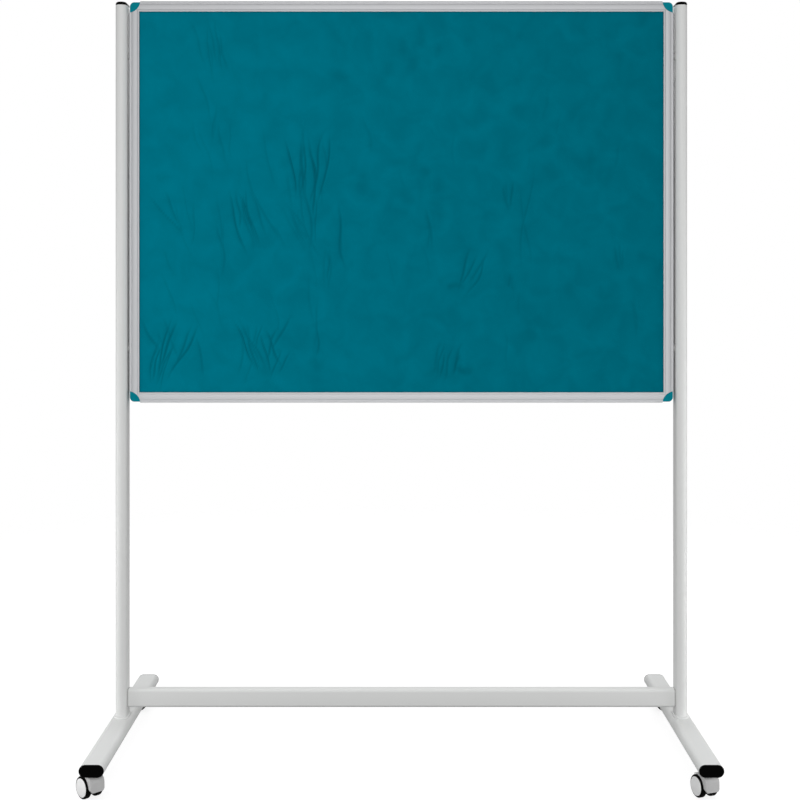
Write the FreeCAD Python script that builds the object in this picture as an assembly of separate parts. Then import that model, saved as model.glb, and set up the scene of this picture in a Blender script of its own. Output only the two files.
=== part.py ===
"""Mobile pinboard: a felt board in an aluminium frame, bolted between two flat-oval
steel uprights that are welded to feet on twin-wheel casters.

Millimetres. The origin is on the floor under the middle of the board, +Z is up,
the front of the board looks along -Y and +X is to the right seen from the front.
"""
import FreeCAD, Part
import math
import os

V = FreeCAD.Vector
X_AXIS = V(1, 0, 0)
Y_AXIS = V(0, 1, 0)
Z_AXIS = V(0, 0, 1)
ORIGIN = V(0, 0, 0)

# Board
board_width = 1200.0
board_height = 884.0
board_bottom = 768.0
core_thickness = 12.0
felt_thickness = 2.0
felt_pinch = 0.4
felt_edge_gap = 0.3

# Frame rail section
rail_face = 23.0
rail_depth = 22.0
rail_wall = 1.5
rail_lip_cover = 10.0
rail_nose_width = 2.0
rail_rim_drop = 0.4
rail_rim_radius = 2.5
rail_groove_place = 6.0
rail_groove_width = 0.9
rail_groove_depth = 0.5
rail_bead_width = 3.5
rail_bead_slope = 0.7
rail_bead_radius = 1.0
rail_dip_width = 1.5
rail_dip_depth = 0.35

# Corner connectors
corner_reach = 25.0
corner_inset = 2.5
corner_radius = 10.0
corner_bulge = 17.5
corner_proud = 0.3
corner_edge_radius = 1.0
corner_clearance = 0.15
corner_leg_reach = 60.0
corner_leg_wall = 2.0

# Uprights and feet
tube_long = 50.0
tube_short = 25.0
tube_wall = 1.5
foot_length = 600.0
upright_drop = 10.0
weld_width = 2.5
weld_height = 3.5

# Plastic caps
cap_flange = 3.0
cap_edge_radius = 1.5
cap_dome = 7.0
cap_dome_radius = 5.0
upright_plug_length = 18.0
cap_plug_wall = 2.0
cap_clearance = 0.15

# Crossbar
bar_height = 40.0
bar_depth = 25.0
bar_radius = 6.0
bar_wall = 1.5
bar_rise = 20.5
bar_plug_flange = 2.0
bar_plug_length = 30.0
bar_plug_inset = 0.4
bar_bolt_pitch = 20.0

# Bolts
bolt_diameter = 6.0
bolt_head_diameter = 12.0
bolt_head_height = 1.2
bolt_head_round = 0.8
bolt_socket = 4.0
bolt_socket_depth = 2.0
bolt_hole_clearance = 0.3
thread_clearance = 0.05
bolt_overrun = 2.0
board_bolt_inset = 120.0
spacer_thickness = 3.0
spacer_diameter = 16.0
nut_plate_thickness = 4.0
nut_plate_length = 40.0
nut_plate_width = 16.0
bar_bolt_grip = 20.0

# Casters
wheel_radius = 22.5
wheel_width = 12.0
wheel_round = 3.0
wheel_hub_radius = 7.0
wheel_dish_radius = 15.5
wheel_dish_depth = 4.0
disc_border = 0.8
disc_seat = 1.5
disc_rim = 0.5
disc_dome = 1.6
disc_clearance = 0.2
caster_head_room = 7.0
caster_trail = 17.0
caster_inset = 26.0
hood_gap = 1.0
hood_wall = 2.0
hood_width = 32.0
hood_nose = 6.0
hood_nose_drop = 4.5
hood_mouth = 3.0
hood_corner_width = 3.5
hood_corner_height = 5.5
hood_shoulder = 13.0
hood_edge_round = 1.5
hood_top_back = -2.0
hood_neck = 1.7
hood_web_angle = -5.0
hood_back_angle = 118.0
hood_web = 8.0
boss_radius = 6.5
boss_side_gap = 0.5
boss_floor = 2.0
boss_lift = 16.0
hub_boss_radius = 6.5
wheel_side_gap = 0.3
running_clearance = 0.05
swivel_gap = 0.3
axle_diameter = 6.0
axle_short = 0.5
stem_diameter = 8.0
stem_flange_radius = 8.0
stem_flange_height = 2.0
stem_hole_clearance = 0.2
stem_overrun = 2.0
nut_across_flats = 13.0
nut_height = 6.5
nut_room = 2.0

# Direction in which each caster's hood points at rest, in degrees from +X
caster_headings = {
    "front_left": -46.0,
    "front_right": -70.0,
    "rear_left": -10.0,
    "rear_right": -170.0,
}

# Places that follow from the sizes above
caster_height = 2 * wheel_radius + caster_head_room
foot_bottom = caster_height
foot_top = foot_bottom + tube_short
board_top = board_bottom + board_height
board_middle = board_bottom + board_height / 2
upright_top = board_top - upright_drop
inner_flat_x = board_width / 2 + spacer_thickness
upright_x = inner_flat_x + tube_short / 2
outer_flat_x = inner_flat_x + tube_short
bar_bottom = foot_top + bar_rise
bar_middle = bar_bottom + bar_height / 2
bar_bolt_heights = (bar_middle - bar_bolt_pitch / 2, bar_middle + bar_bolt_pitch / 2)
board_bolt_heights = (board_bottom + board_bolt_inset, board_top - board_bolt_inset)
stem_y = foot_length / 2 - caster_inset
nut_corner = nut_across_flats / math.sqrt(3)
foot_plug_length = caster_inset - cap_flange - nut_corner - nut_room
wheel_inner = boss_radius + boss_side_gap
wheel_outer = wheel_inner + wheel_width
disc_radius = wheel_radius - wheel_round - disc_border - disc_clearance
panel_half = core_thickness / 2 + felt_thickness
panel_edge = rail_face - rail_lip_cover
rail_inside = rail_depth / 2 - rail_wall
sides = {"left": -1, "right": 1}
ends = {"front": -1, "rear": 1}


def closed_face(edges):
    """Face inside a ring of lines and arcs."""
    return Part.Face(Part.Wire(Part.__sortEdges__([edge.toShape() for edge in edges])))


def polygon_face(points):
    """Face inside a closed run of straight lines."""
    return Part.Face(Part.makePolygon(list(points) + [points[0]]))


def hexagon(corner):
    """Regular hexagon in XY with its corners at one distance from the middle."""
    turns = [math.radians(60 * k) for k in range(6)]
    return polygon_face([V(corner * math.cos(turn), corner * math.sin(turn), 0) for turn in turns])


def flat_oval(long_side, short_side):
    """Flat-sided oval in XY with its long side along X and half-round ends."""
    radius = short_side / 2
    half = long_side / 2 - radius
    return closed_face([
        Part.LineSegment(V(-half, radius, 0), V(half, radius, 0)),
        Part.Arc(V(half, radius, 0), V(half + radius, 0, 0), V(half, -radius, 0)),
        Part.LineSegment(V(half, -radius, 0), V(-half, -radius, 0)),
        Part.Arc(V(-half, -radius, 0), V(-half - radius, 0, 0), V(-half, radius, 0)),
    ])


def rounded_rectangle(width, height, radius):
    """Rectangle in XY, centred, with round corners."""
    half_x = width / 2
    half_y = height / 2
    bend = radius * (1 - math.sqrt(0.5))
    edges = []
    for sx, sy in ((1, 1), (1, -1), (-1, -1), (-1, 1)):
        start = V(sx * (half_x - radius), sy * half_y, 0)
        middle = V(sx * (half_x - bend), sy * (half_y - bend), 0)
        end = V(sx * half_x, sy * (half_y - radius), 0)
        edges.append(Part.Arc(start, middle, end))
    run_x = half_x - radius
    run_y = half_y - radius
    for sign in (1, -1):
        edges.append(Part.LineSegment(V(-run_x, sign * half_y, 0), V(run_x, sign * half_y, 0)))
        edges.append(Part.LineSegment(V(sign * half_x, -run_y, 0), V(sign * half_x, run_y, 0)))
    return closed_face(edges)


def upright_bar(long_side, short_side, low, high):
    """Flat-oval bar standing along Z at X = 0, its long side along Y."""
    face = flat_oval(long_side, short_side).rotated(ORIGIN, Z_AXIS, 90)
    return face.translated(V(0, 0, low)).extrude(V(0, 0, high - low))


def foot_bar(long_side, short_side, back, front_to_back):
    """Flat-oval bar lying along Y at X = 0 and Z = 0, from Y = back towards the front."""
    face = flat_oval(long_side, short_side).rotated(ORIGIN, X_AXIS, 90)
    return face.translated(V(0, back, 0)).extrude(V(0, -front_to_back, 0))


def rod_x(radius, start, length, y, z):
    """Round rod along +X."""
    return Part.makeCylinder(radius, length, V(start, y, z), X_AXIS)


def flat_edges(shape, axis, level):
    """Edges of a shape that lie in the plane where one coordinate has a given level."""
    return [
        edge for edge in shape.Edges
        if all(abs(getattr(vertex.Point, axis) - level) < 1e-6 for vertex in edge.Vertexes)
    ]


def upright(side):
    """Flat-oval tube with a weld flare at its base and holes for the bolts."""
    outer = upright_bar(tube_long, tube_short, foot_top, upright_top)
    base = flat_oval(tube_long + 2 * weld_width, tube_short + 2 * weld_width).OuterWire
    neck = flat_oval(tube_long, tube_short).OuterWire
    flare = Part.makeLoft([base, neck.translated(V(0, 0, weld_height))], True, True)
    flare = flare.rotated(ORIGIN, Z_AXIS, 90).translated(V(0, 0, foot_top))
    bore = upright_bar(tube_long - 2 * tube_wall, tube_short - 2 * tube_wall, foot_top, upright_top)
    body = outer.fuse(flare).cut(bore)
    hole_radius = bolt_diameter / 2 + bolt_hole_clearance
    for height in board_bolt_heights + bar_bolt_heights:
        body = body.cut(rod_x(hole_radius, -tube_short, 2 * tube_short, 0, height))
    return body.removeSplitter().translated(V(sides[side] * upright_x, 0, 0))


def upright_cap(side):
    """Domed black head with a hollow plug inside the upright."""
    head = upright_bar(tube_long, tube_short, upright_top, upright_top + cap_dome)
    head = head.makeFillet(cap_dome_radius, flat_edges(head, "z", upright_top + cap_dome))
    shrink = 2 * (tube_wall + cap_clearance)
    plug_low = upright_top - upright_plug_length
    plug = upright_bar(tube_long - shrink, tube_short - shrink, plug_low, upright_top)
    hollow = shrink + 2 * cap_plug_wall
    plug = plug.cut(upright_bar(tube_long - hollow, tube_short - hollow, plug_low, upright_top))
    return head.fuse(plug).removeSplitter().translated(V(sides[side] * upright_x, 0, 0))


def foot(side):
    """Flat-oval tube lying along Y, with a hole below each caster nut."""
    length = foot_length - 2 * cap_flange
    body = foot_bar(tube_long, tube_short, length / 2, length)
    body = body.cut(foot_bar(tube_long - 2 * tube_wall, tube_short - 2 * tube_wall, length / 2, length))
    hole_radius = stem_diameter / 2 + stem_hole_clearance
    for end in ends.values():
        body = body.cut(Part.makeCylinder(hole_radius, tube_short, V(0, end * stem_y, -tube_short)))
    return body.translated(V(sides[side] * upright_x, 0, foot_bottom + tube_short / 2))


def foot_cap(end, side):
    """Black end plug: a flat-oval face plate with rounded edges and a hollow plug behind it."""
    face_y = foot_length / 2
    plate = foot_bar(tube_long, tube_short, -face_y + cap_flange, cap_flange)
    plate = plate.makeFillet(cap_edge_radius, flat_edges(plate, "y", -face_y))
    shrink = 2 * (tube_wall + cap_clearance)
    plug_back = -face_y + cap_flange + foot_plug_length
    plug = foot_bar(tube_long - shrink, tube_short - shrink, plug_back, foot_plug_length)
    hollow = shrink + 2 * cap_plug_wall
    plug = plug.cut(foot_bar(tube_long - hollow, tube_short - hollow, plug_back, foot_plug_length))
    cap = plate.fuse(plug).removeSplitter()
    if ends[end] > 0:
        cap = cap.rotated(ORIGIN, Z_AXIS, 180)
    return cap.translated(V(sides[side] * upright_x, 0, foot_bottom + tube_short / 2))


def along_x(face, start, length):
    """Carry a face drawn in XY, width along X and height along Y, along +X as depth and height."""
    turned = face.rotated(ORIGIN, X_AXIS, 90).rotated(ORIGIN, Z_AXIS, 90)
    return turned.translated(V(start, 0, bar_middle)).extrude(V(length, 0, 0))


def crossbar():
    """Rectangular tube with rounded corners between the two plug flanges."""
    half = inner_flat_x - bar_plug_flange
    outer = along_x(rounded_rectangle(bar_depth, bar_height, bar_radius), -half, 2 * half)
    inner_radius = bar_radius - bar_wall
    bore = rounded_rectangle(bar_depth - 2 * bar_wall, bar_height - 2 * bar_wall, inner_radius)
    return outer.cut(along_x(bore, -half, 2 * half))


def crossbar_plug(side):
    """End piece of the crossbar: a thin flange and a plug with two threaded holes."""
    tube_end = inner_flat_x - bar_plug_flange
    flange_face = rounded_rectangle(
        bar_depth - 2 * bar_plug_inset, bar_height - 2 * bar_plug_inset, bar_radius - bar_plug_inset)
    flange = along_x(flange_face, tube_end, bar_plug_flange)
    shrink = bar_wall + cap_clearance
    plug_face = rounded_rectangle(bar_depth - 2 * shrink, bar_height - 2 * shrink, bar_radius - shrink)
    body = flange.fuse(along_x(plug_face, tube_end - bar_plug_length, bar_plug_length))
    hole_radius = bolt_diameter / 2 + thread_clearance
    for height in bar_bolt_heights:
        body = body.cut(rod_x(hole_radius, 0, 2 * inner_flat_x, 0, height))
    body = body.removeSplitter()
    return body if sides[side] > 0 else body.rotated(ORIGIN, Z_AXIS, 180)


def flat_bolt(length):
    """Socket bolt with a thin flat head along Z: shank below Z = 0, head above it."""
    shank = Part.makeCylinder(bolt_diameter / 2, length, V(0, 0, -length))
    head = Part.makeCylinder(bolt_head_diameter / 2, bolt_head_height)
    head = head.makeFillet(bolt_head_round, flat_edges(head, "z", bolt_head_height))
    socket = hexagon(bolt_socket / math.sqrt(3)).translated(V(0, 0, bolt_head_height - bolt_socket_depth))
    return shank.fuse(head).cut(socket.extrude(V(0, 0, bolt_socket_depth))).removeSplitter()


def side_bolts(heights, length):
    """One bolt at each height on both uprights, the heads on the outer flats."""
    bolts = []
    for sign in sides.values():
        for height in heights:
            bolt = flat_bolt(length).rotated(ORIGIN, Y_AXIS, sign * 90)
            bolts.append(bolt.translated(V(sign * outer_flat_x, 0, height)))
    return Part.makeCompound(bolts)


def board_spacers():
    """Washers that keep the side rails clear of the uprights."""
    hole_radius = bolt_diameter / 2 + bolt_hole_clearance
    washers = []
    for sign in sides.values():
        start = min(sign * inner_flat_x, sign * board_width / 2)
        for height in board_bolt_heights:
            washer = rod_x(spacer_diameter / 2, start, spacer_thickness, 0, height)
            washers.append(washer.cut(rod_x(hole_radius, start, spacer_thickness, 0, height)))
    return Part.makeCompound(washers)


def board_nut_plates():
    """Threaded steel plates behind the outer walls of the side rails."""
    plates = []
    for sign in sides.values():
        start = board_width / 2 - rail_wall - nut_plate_thickness
        for height in board_bolt_heights:
            corner = V(start, -nut_plate_width / 2, height - nut_plate_length / 2)
            plate = Part.makeBox(nut_plate_thickness, nut_plate_width, nut_plate_length, corner)
            hole = rod_x(bolt_diameter / 2 + thread_clearance, start, nut_plate_thickness, 0, height)
            plate = plate.cut(hole)
            plates.append(plate if sign > 0 else plate.rotated(ORIGIN, Z_AXIS, 180))
    return Part.makeCompound(plates)


def rail_half_edges(sign):
    """Half of the rail's outline, from the outer wall round the face to the web.

    X runs inwards from the rail's outer edge and Y through the board's depth.
    """
    face = rail_depth / 2
    rim = face - rail_rim_drop
    nose = panel_half - felt_pinch
    bend = rail_rim_radius * (1 - math.sqrt(0.5))
    groove_end = rail_groove_place + rail_groove_width
    bead_start = rail_face - rail_bead_width
    dip_start = bead_start - rail_dip_width
    bead_bend = rail_bead_radius * (1 - math.sqrt(0.5))

    def at(x, y):
        return V(x, sign * y, 0)

    lines = [
        [at(0, 0), at(0, rim - rail_rim_radius)],
        [at(rail_rim_radius, rim), at(rail_groove_place, rim),
         at(rail_groove_place, rim - rail_groove_depth), at(groove_end, rim - rail_groove_depth),
         at(groove_end, rim)],
        [at(bead_start, rim), at(bead_start + rail_bead_slope, face), at(rail_face - rail_bead_radius, face)],
        [at(rail_face, face - rail_bead_radius), at(rail_face, nose), at(rail_face - rail_nose_width, nose),
         at(rail_face - rail_nose_width, rail_inside), at(panel_edge, rail_inside), at(panel_edge, 0)],
    ]
    arcs = [
        (at(0, rim - rail_rim_radius), at(bend, rim - bend), at(rail_rim_radius, rim)),
        (at(groove_end, rim), at((groove_end + dip_start) / 2, face), at(dip_start, rim)),
        (at(dip_start, rim), at(dip_start + rail_dip_width / 2, rim - rail_dip_depth), at(bead_start, rim)),
        (at(rail_face - rail_bead_radius, face), at(rail_face - bead_bend, face - bead_bend),
         at(rail_face, face - rail_bead_radius)),
    ]
    edges = [Part.Arc(*points) for points in arcs]
    for points in lines:
        edges += [Part.LineSegment(a, b) for a, b in zip(points, points[1:])]
    return edges


def corner_outline(clearance, outside):
    """Leaf outline of a corner connector, or the notch that the rails get for it.

    X and Z run inwards from the frame's two outer edges. The inner edge is an arc
    that swells towards the felt. The notch runs on past the frame's outer edges.
    """
    reach = corner_reach + clearance
    swell = corner_bulge + clearance
    inner = Part.Arc(V(corner_inset, 0, reach), V(swell, 0, swell), V(reach, 0, corner_inset))
    if outside > 0:
        points = [V(reach, 0, corner_inset), V(reach, 0, -outside), V(-outside, 0, -outside),
                  V(-outside, 0, reach), V(corner_inset, 0, reach)]
        return closed_face([inner] + [Part.LineSegment(a, b) for a, b in zip(points, points[1:])])
    start = corner_inset + corner_radius
    bend = corner_inset + corner_radius * (1 - math.sqrt(0.5))
    return closed_face([
        inner,
        Part.LineSegment(V(reach, 0, corner_inset), V(start, 0, corner_inset)),
        Part.Arc(V(start, 0, corner_inset), V(bend, 0, bend), V(corner_inset, 0, start)),
        Part.LineSegment(V(corner_inset, 0, start), V(corner_inset, 0, reach)),
    ])


def corner_notch():
    """Space that is cut from the ends of the rails for a corner connector."""
    notch = corner_outline(corner_clearance, rail_face)
    return notch.translated(V(0, -rail_depth, 0)).extrude(V(0, 2 * rail_depth, 0))


def rail(length, bolt_places):
    """Mitred rail along Z: X runs inwards from its outer edge, Y through its depth."""
    section = closed_face(rail_half_edges(1) + rail_half_edges(-1))
    chamber = Part.makeBox(
        panel_edge - 2 * rail_wall, 2 * rail_inside, length, V(rail_wall, -rail_inside, 0))
    body = section.extrude(V(0, 0, length)).cut(chamber)
    over = 2 * rail_face
    mitre = polygon_face([V(-over, -rail_depth, -over), V(over, -rail_depth, over),
                          V(over, -rail_depth, length - over), V(-over, -rail_depth, length + over)])
    body = body.common(mitre.extrude(V(0, 2 * rail_depth, 0)))
    notch = corner_notch()
    body = body.cut(notch).cut(notch.mirror(V(0, 0, length / 2), Z_AXIS))
    hole_radius = bolt_diameter / 2 + bolt_hole_clearance
    for place in bolt_places:
        body = body.cut(rod_x(hole_radius, -rail_wall, 3 * rail_wall, 0, place))
    return body.removeSplitter()


def frame_rails():
    """The four rails, each turned so that its outer edge lies on the board's edge."""
    bolt_places = [height - board_bottom for height in board_bolt_heights]
    half = board_width / 2
    long_rail = rail(board_width, [])
    side_rail = rail(board_height, bolt_places)
    return {
        "left_rail": side_rail.translated(V(-half, 0, board_bottom)),
        "right_rail": side_rail.rotated(ORIGIN, Y_AXIS, 180).translated(V(half, 0, board_top)),
        "top_rail": long_rail.rotated(ORIGIN, Y_AXIS, 90).translated(V(-half, 0, board_top)),
        "bottom_rail": long_rail.rotated(ORIGIN, Y_AXIS, -90).translated(V(half, 0, board_bottom)),
    }


def corner_connector():
    """Teal corner: leaf plates on both faces, a rounded edge and two hollow legs."""
    half = rail_depth / 2 + corner_proud
    leaf = corner_outline(0, 0).translated(V(0, -half, 0)).extrude(V(0, 2 * half, 0))
    rims = flat_edges(leaf, "y", half) + flat_edges(leaf, "y", -half)
    leaf = leaf.makeFillet(corner_edge_radius, rims)
    seat = panel_edge - corner_clearance
    panel_space = panel_half + corner_clearance
    leaf = leaf.cut(Part.makeBox(corner_reach, 2 * panel_space, corner_reach, V(seat, -panel_space, seat)))
    leg_low = corner_inset + corner_clearance
    leg_high = panel_edge - rail_wall - corner_clearance
    leg_half = rail_inside - corner_clearance
    leg_start = corner_inset + corner_radius
    leg_length = corner_leg_reach - leg_start
    leg = Part.makeBox(leg_length, 2 * leg_half, leg_high - leg_low, V(leg_start, -leg_half, leg_low))
    hollow = Part.makeBox(
        corner_leg_reach - corner_reach, 2 * (leg_half - corner_leg_wall),
        leg_high - leg_low - 2 * corner_leg_wall,
        V(corner_reach, corner_leg_wall - leg_half, leg_low + corner_leg_wall))
    leg = leg.cut(hollow)
    other_leg = leg.rotated(ORIGIN, Y_AXIS, 90).mirror(ORIGIN, Z_AXIS)
    return leaf.fuse([leg, other_leg]).removeSplitter()


def corner_connectors():
    """The connector turned into each of the frame's four corners."""
    half = board_width / 2
    corner = corner_connector()
    places = {
        "bottom_left_corner": (0, V(-half, 0, board_bottom)),
        "top_left_corner": (90, V(-half, 0, board_top)),
        "top_right_corner": (180, V(half, 0, board_top)),
        "bottom_right_corner": (-90, V(half, 0, board_bottom)),
    }
    return {
        name: corner.rotated(ORIGIN, Y_AXIS, turn).translated(place)
        for name, (turn, place) in places.items()
    }


def centred_slab(width, height, front, thickness):
    """Upright slab in the middle of the board, from Y = front backwards."""
    return Part.makeBox(width, thickness, height, V(-width / 2, front, board_middle - height / 2))


def board_core():
    """Soft pin board inside the rails."""
    return centred_slab(
        board_width - 2 * panel_edge, board_height - 2 * panel_edge, -core_thickness / 2, core_thickness)


def felt(end):
    """Felt sheet on one side of the core, pinched thinner where the rails' lips hold it."""
    thin = felt_thickness - felt_pinch
    front = -core_thickness / 2 - thin
    sheet = centred_slab(board_width - 2 * panel_edge, board_height - 2 * panel_edge, front, thin)
    border = 2 * (rail_face + felt_edge_gap)
    swell = centred_slab(board_width - border, board_height - border, front - felt_pinch, felt_pinch)
    body = sheet.fuse(swell).removeSplitter()
    return body if ends[end] < 0 else body.rotated(ORIGIN, Z_AXIS, 180)


def revolved(edges):
    """Turn an outline in XZ about the X axis."""
    return closed_face(edges).revolve(ORIGIN, X_AXIS, 360)


def wheel():
    """Black wheel on the axle along +X, its inner face next to the hood's web.

    The tread has round shoulders, the inner side is dished round the hub and the
    outer side has a shallow seat for the disc.
    """
    inner = wheel_inner
    outer = wheel_outer
    bore = axle_diameter / 2 + running_clearance
    seat = outer - disc_seat
    seat_radius = disc_radius + disc_clearance
    dish = inner + wheel_dish_depth
    bend = wheel_round * (1 - math.sqrt(0.5))
    points = [
        V(inner + wheel_round, 0, wheel_radius), V(outer - wheel_round, 0, wheel_radius),
        V(outer, 0, wheel_radius - wheel_round), V(outer, 0, seat_radius), V(seat, 0, seat_radius),
        V(seat, 0, bore), V(inner, 0, bore), V(inner, 0, wheel_hub_radius), V(dish, 0, wheel_hub_radius),
        V(dish, 0, wheel_dish_radius), V(inner, 0, wheel_dish_radius),
        V(inner, 0, wheel_radius - wheel_round),
    ]
    shoulders = {1: V(outer - bend, 0, wheel_radius - bend), 11: V(inner + bend, 0, wheel_radius - bend)}
    edges = []
    for index, start in enumerate(points):
        end = points[(index + 1) % len(points)]
        if index in shoulders:
            edges.append(Part.Arc(start, shoulders[index], end))
        else:
            edges.append(Part.LineSegment(start, end))
    return revolved(edges)


def wheel_disc():
    """Light domed disc that sits in the wheel's outer seat."""
    seat = wheel_outer - disc_seat
    rim = seat + disc_seat + disc_rim
    crown = rim + disc_dome
    sphere = (disc_radius ** 2 + disc_dome ** 2) / (2 * disc_dome)
    half_angle = math.asin(disc_radius / sphere) / 2
    middle = V(crown - sphere * (1 - math.cos(half_angle)), 0, sphere * math.sin(half_angle))
    return revolved([
        Part.LineSegment(V(seat, 0, 0), V(seat, 0, disc_radius)),
        Part.LineSegment(V(seat, 0, disc_radius), V(rim, 0, disc_radius)),
        Part.Arc(V(rim, 0, disc_radius), middle, V(crown, 0, 0)),
        Part.LineSegment(V(crown, 0, 0), V(seat, 0, 0)),
    ])


def axle():
    """Steel pin along X through the hood's web and both wheels."""
    half = wheel_outer - disc_seat - axle_short
    return rod_x(axle_diameter / 2, -half, 2 * half, 0, 0)


def guard_point(radius, angle):
    """Point of the hood's side view: angles start at -Y, the way the hood points, and go up."""
    turn = math.radians(angle)
    return V(0, -radius * math.cos(turn), radius * math.sin(turn))


def guard_arc(radius, low_angle):
    """Arc about the X axis from an angle at the hood's front over the top to its back edge."""
    middle = (low_angle + hood_back_angle) / 2
    return Part.Arc(*[guard_point(radius, angle) for angle in (low_angle, middle, hood_back_angle)])


def across(face, low, high):
    """Prism along X of a face that lies in the YZ plane."""
    return face.translated(V(low, 0, 0)).extrude(V(high - low, 0, 0))


def hood_web_sector(outer):
    """Web in the hood's mid-plane: part of a ring from the hub to the mudguard."""
    inner = axle_diameter
    face = closed_face([
        guard_arc(inner, hood_web_angle),
        guard_arc(outer, hood_web_angle),
        Part.LineSegment(guard_point(outer, hood_back_angle), guard_point(inner, hood_back_angle)),
        Part.LineSegment(guard_point(inner, hood_web_angle), guard_point(outer, hood_web_angle)),
    ])
    return across(face, -hood_web / 2, hood_web / 2)


def shoulder_arc(front, top, radius):
    """Quarter circle from the nose's front to the flat top in the hood's side view."""
    bend = radius * (1 - math.sqrt(0.5))
    return Part.Arc(V(0, front, top - radius), V(0, front + bend, top - bend), V(0, front + radius, top))


def hood_skin(front, low, top, outside):
    """Outer skin of the hood in side view: up the nose, round the shoulder, along the top, down the back."""
    back_high = guard_point(outside, hood_back_angle)
    drop = top - back_high.z
    run = back_high.y - hood_top_back
    back_radius = (run ** 2 + drop ** 2) / (2 * drop)
    half_turn = math.asin(run / back_radius) / 2
    back_middle = V(0, hood_top_back + back_radius * math.sin(half_turn),
                    top - back_radius * (1 - math.cos(half_turn)))
    return [
        Part.LineSegment(V(0, front, low), V(0, front, top - hood_shoulder)),
        shoulder_arc(front, top, hood_shoulder),
        Part.LineSegment(V(0, front + hood_shoulder, top), V(0, hood_top_back, top)),
        Part.Arc(V(0, hood_top_back, top), back_middle, back_high),
    ]


def hood_pocket(front, low, top):
    """Hollow of the hood in side view, a wall inside its skin and open towards the wheels and the floor."""
    inner_front = front + hood_wall
    inner_top = top - hood_wall
    bottom = low - hood_wall
    return closed_face([
        Part.LineSegment(V(0, inner_front, bottom), V(0, inner_front, top - hood_shoulder)),
        shoulder_arc(inner_front, inner_top, hood_shoulder - hood_wall),
        Part.LineSegment(V(0, front + hood_shoulder, inner_top), V(0, hood_top_back, inner_top)),
        Part.LineSegment(V(0, hood_top_back, inner_top), V(0, hood_top_back, bottom)),
        Part.LineSegment(V(0, hood_top_back, bottom), V(0, inner_front, bottom)),
    ])


def hood_shell(inside, top):
    """Mudguard with a nose in front of the wheels, soft long edges and a hollow on both sides of the web.

    The nose's lower edge slants from the wheels down to the front, and its corners are cut off.
    """
    wide = hood_width / 2
    low = -hood_nose_drop
    front = -inside - hood_wall - hood_nose
    outside = inside + hood_wall
    mouth_angle = math.degrees(math.asin(hood_mouth / inside))
    skin = hood_skin(front, low, top, outside)
    side_view = closed_face(skin + [
        Part.LineSegment(guard_point(outside, hood_back_angle), guard_point(inside, hood_back_angle)),
        guard_arc(inside, mouth_angle),
        Part.LineSegment(guard_point(inside, mouth_angle), V(0, front, low)),
    ])
    shell = across(side_view, -wide, wide)
    skin_middles = [curve.toShape().CenterOfMass + V(side, 0, 0) for curve in skin for side in (wide, -wide)]
    soft = [
        edge for edge in shell.Edges
        if min((edge.CenterOfMass - middle).Length for middle in skin_middles) < 1e-6
    ]
    shell = shell.makeFillet(hood_edge_round, soft)
    pocket = hood_pocket(front, low, top)
    inner_wide = wide - hood_wall
    shell = shell.cut(across(pocket, hood_web / 2, inner_wide))
    shell = shell.cut(across(pocket, -inner_wide, -hood_web / 2))
    slim = wide - hood_corner_width
    corner = low + hood_corner_height
    front_view = polygon_face([V(wide, 0, top), V(wide, 0, corner), V(slim, 0, low),
                               V(-slim, 0, low), V(-wide, 0, corner), V(-wide, 0, top)])
    reach = 2 * abs(front)
    return shell.common(front_view.translated(V(0, -reach, 0)).extrude(V(0, 2 * reach, 0)))


def hood():
    """Moulded caster body about the axle: mudguard, web, pivot boss and hub boss.

    The web carries the axle, and the boss turns on the stem, which stands in front
    of the axle.
    """
    inside = wheel_radius + hood_gap
    boss_low = boss_lift - wheel_radius
    boss_high = caster_height - stem_flange_height - swivel_gap - wheel_radius
    guard = hood_shell(inside, boss_high - hood_neck)
    web = hood_web_sector(inside + hood_wall / 2)
    boss = Part.makeCylinder(boss_radius, boss_high - boss_low, V(0, -caster_trail, boss_low))
    hub_half = wheel_inner - wheel_side_gap
    hub = rod_x(hub_boss_radius, -hub_half, 2 * hub_half, 0, 0)
    body = guard.fuse([web, boss, hub])
    pivot_low = boss_low + boss_floor
    pivot_radius = stem_diameter / 2 + running_clearance
    body = body.cut(Part.makeCylinder(pivot_radius, boss_high - pivot_low, V(0, -caster_trail, pivot_low)))
    body = body.cut(rod_x(axle_diameter / 2, -hood_width, 2 * hood_width, 0, 0))
    return body.removeSplitter()


def stem():
    """Kingpin about Z with a flange under the foot and a threaded stud above it."""
    pin_low = boss_lift + boss_floor + swivel_gap
    stud_high = foot_bottom + tube_wall + nut_height + stem_overrun
    pin = Part.makeCylinder(stem_diameter / 2, stud_high - pin_low, V(0, 0, pin_low))
    flange_low = foot_bottom - stem_flange_height
    flange = Part.makeCylinder(stem_flange_radius, stem_flange_height, V(0, 0, flange_low))
    return pin.fuse(flange).removeSplitter()


def caster_nut():
    """Hexagon weld nut on the inside of the foot's lower wall, about Z."""
    low = foot_bottom + tube_wall
    nut = hexagon(nut_corner).translated(V(0, 0, low)).extrude(V(0, 0, nut_height))
    hole = Part.makeCylinder(stem_diameter / 2 + thread_clearance, nut_height, V(0, 0, low))
    return nut.cut(hole)


def caster_place(name):
    """Point on the floor below a caster's stem."""
    end, side = name.split("_")
    return V(sides[side] * upright_x, ends[end] * stem_y, 0)


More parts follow.
